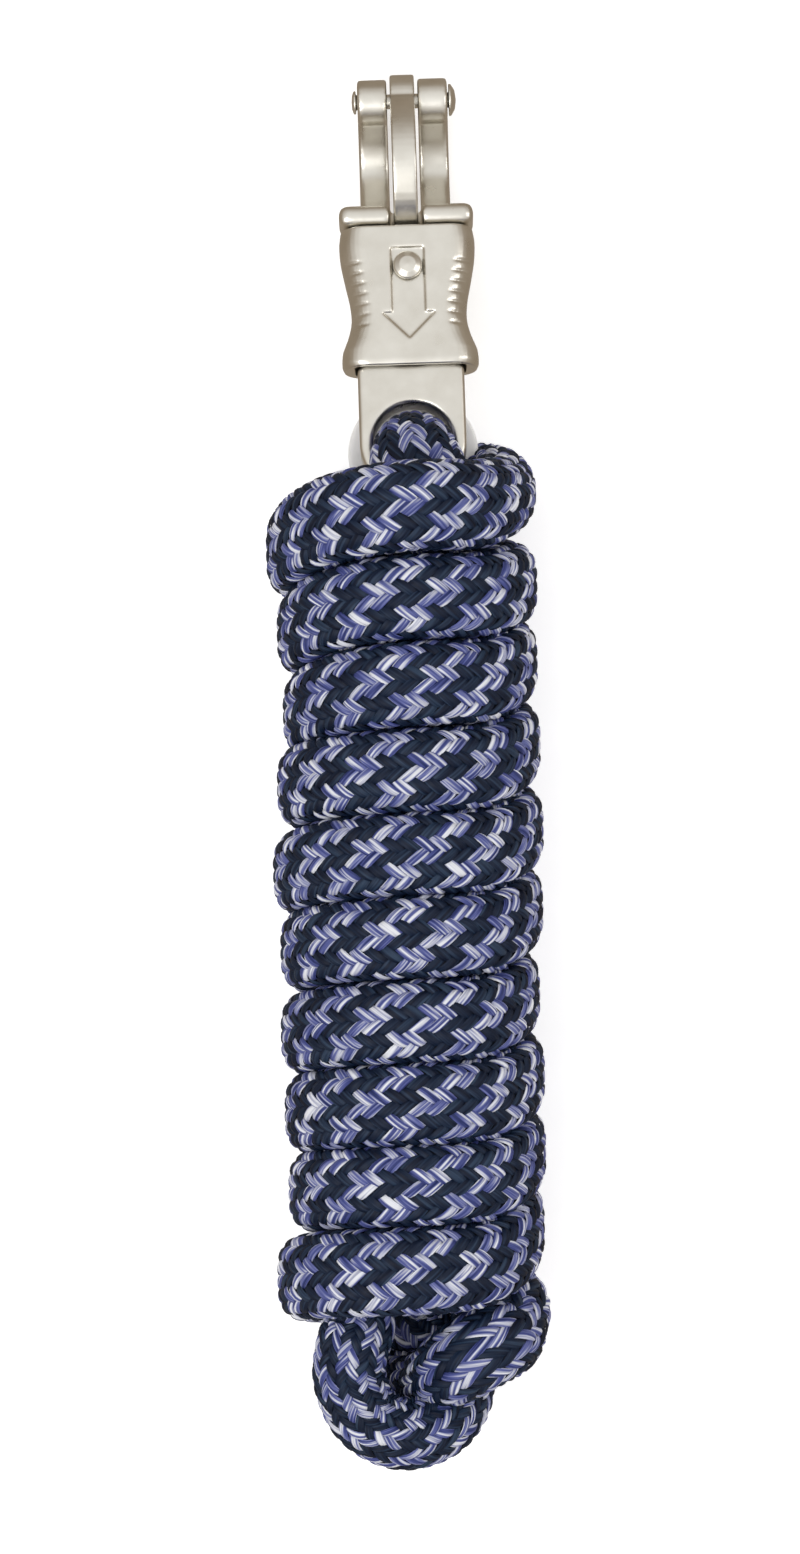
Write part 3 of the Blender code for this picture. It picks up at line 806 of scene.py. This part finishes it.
def arrow_cutter():
    """A plain arrow that points to the eye."""
    stem, head, neck, top, tip = 0.0039, 0.0063, 0.0297, 0.0449, 0.0234
    outline = [(-stem, top), (-stem, neck), (-head, neck), (0, tip)]
    outline += [(-x, y) for x, y in outline[2::-1]]
    bm = bmesh.new()
    face = bm.faces.new([bm.verts.new((x, y, SLEEVE_FACE - ARROW_DEPTH)) for x, y in outline])
    grown = bmesh.ops.extrude_face_region(bm, geom=[face])["geom"]
    raised = [part for part in grown if isinstance(part, bmesh.types.BMVert)]
    bmesh.ops.translate(bm, vec=(0, 0, 0.004), verts=raised)
    bmesh.ops.recalc_face_normals(bm, faces=bm.faces)
    mesh = bpy.data.meshes.new("arrow")
    bm.to_mesh(mesh)
    bm.free()
    return new_cutter("arrow", mesh)


def groove_cutter():
    """Round bars bent round both flanks, one for each grip groove."""
    curve = bpy.data.curves.new("grooves", "CURVE")
    curve.dimensions = "3D"
    curve.bevel_depth = GROOVE_RADIUS
    curve.bevel_resolution = 3
    curve.use_fill_caps = True
    flank = np.array(FLANK)
    for number in range(GROOVES):
        place = GROOVE_FIRST + number * GROOVE_PITCH
        half_width = float(np.interp(place, flank[:, 0], flank[:, 1])) + GROOVE_LIFT
        for hand in (-1, 1):
            spline = curve.splines.new("POLY")
            spline.points.add(8)
            for step, knot in enumerate(spline.points):
                angle = radians(84 - 8 * step)
                reach = SLEEVE_CORNER + GROOVE_FADE * ((step - 4) / 4) ** 2
                x = half_width - SLEEVE_CORNER + reach * cos(angle)
                z = SLEEVE_FACE - SLEEVE_CORNER + reach * sin(angle)
                knot.co = (hand * x, place, z, 1)
    bars = bpy.data.objects.new("bars", curve)
    bpy.context.scene.collection.objects.link(bars)
    return new_cutter("grooves", finished_mesh(bars))


sleeve_cutters = [arrow_cutter(), groove_cutter()]
cast_skin(
    "sleeve_casting",
    "release_sleeve",
    0.00027,
    6,
    satin_nickel,
    body="sleeve",
    cutters=sleeve_cutters,
)
cast_skin("sleeve_rivet_domed", "sleeve_rivet", 0.00014, 4, satin_nickel, body="sleeve")


# The spring under the sleeve
# A coil of drawn steel wire that lies in the shank's slot. It pushes the rivet, and the sleeve with it,
# towards the tongue. The sleeve covers it, so its solid is shown as it is.

spring_steel, graph, shader = new_material("spring_steel", 0.35, 1.0)
drawn = graph.noise(900.0, 2.0)
steels = [(0.3, (0.42, 0.42, 0.43)), (0.7, (0.6, 0.6, 0.61))]
drive(graph, shader, "Base Color", graph.ramp(steels, drawn))
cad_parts["release_spring"].data.materials.clear()
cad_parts["release_spring"].data.materials.append(spring_steel)


# The stop
# A milky plastic disc, moulded on to the rope's end. It is wider than the snap's eye, so the rope can't be
# pulled through.

glow = {"Subsurface_Weight": 0.5, "Subsurface_Scale": 0.004, "Subsurface_Radius": WHITE}
milky_plastic, graph, shader = new_material("milky_plastic", 0.32, Coat_Weight=0.15, **glow)
haze = graph.noise(240.0, 3.0)
milks = [(0.3, (0.90, 0.905, 0.91)), (0.7, (0.95, 0.95, 0.95))]
drive(graph, shader, "Base Color", graph.ramp(milks, haze))
stop = cast_skin("stop_disc", "rope_stop", 0.0003, 3, milky_plastic)


# The end cap
# A cap of black plastic, pressed on to the free end behind the bight, keeps the plait from coming apart.

black_plastic, graph, shader = new_material("black_plastic", 0.45)
specks = graph.noise(1500.0, 2.0)
blacks = [(0.3, (0.010, 0.010, 0.013)), (0.7, (0.022, 0.022, 0.027))]
drive(graph, shader, "Base Color", graph.ramp(blacks, specks))
cap = cast_skin("end_cap", "rope_end_cap", 0.0003, 4, black_plastic)
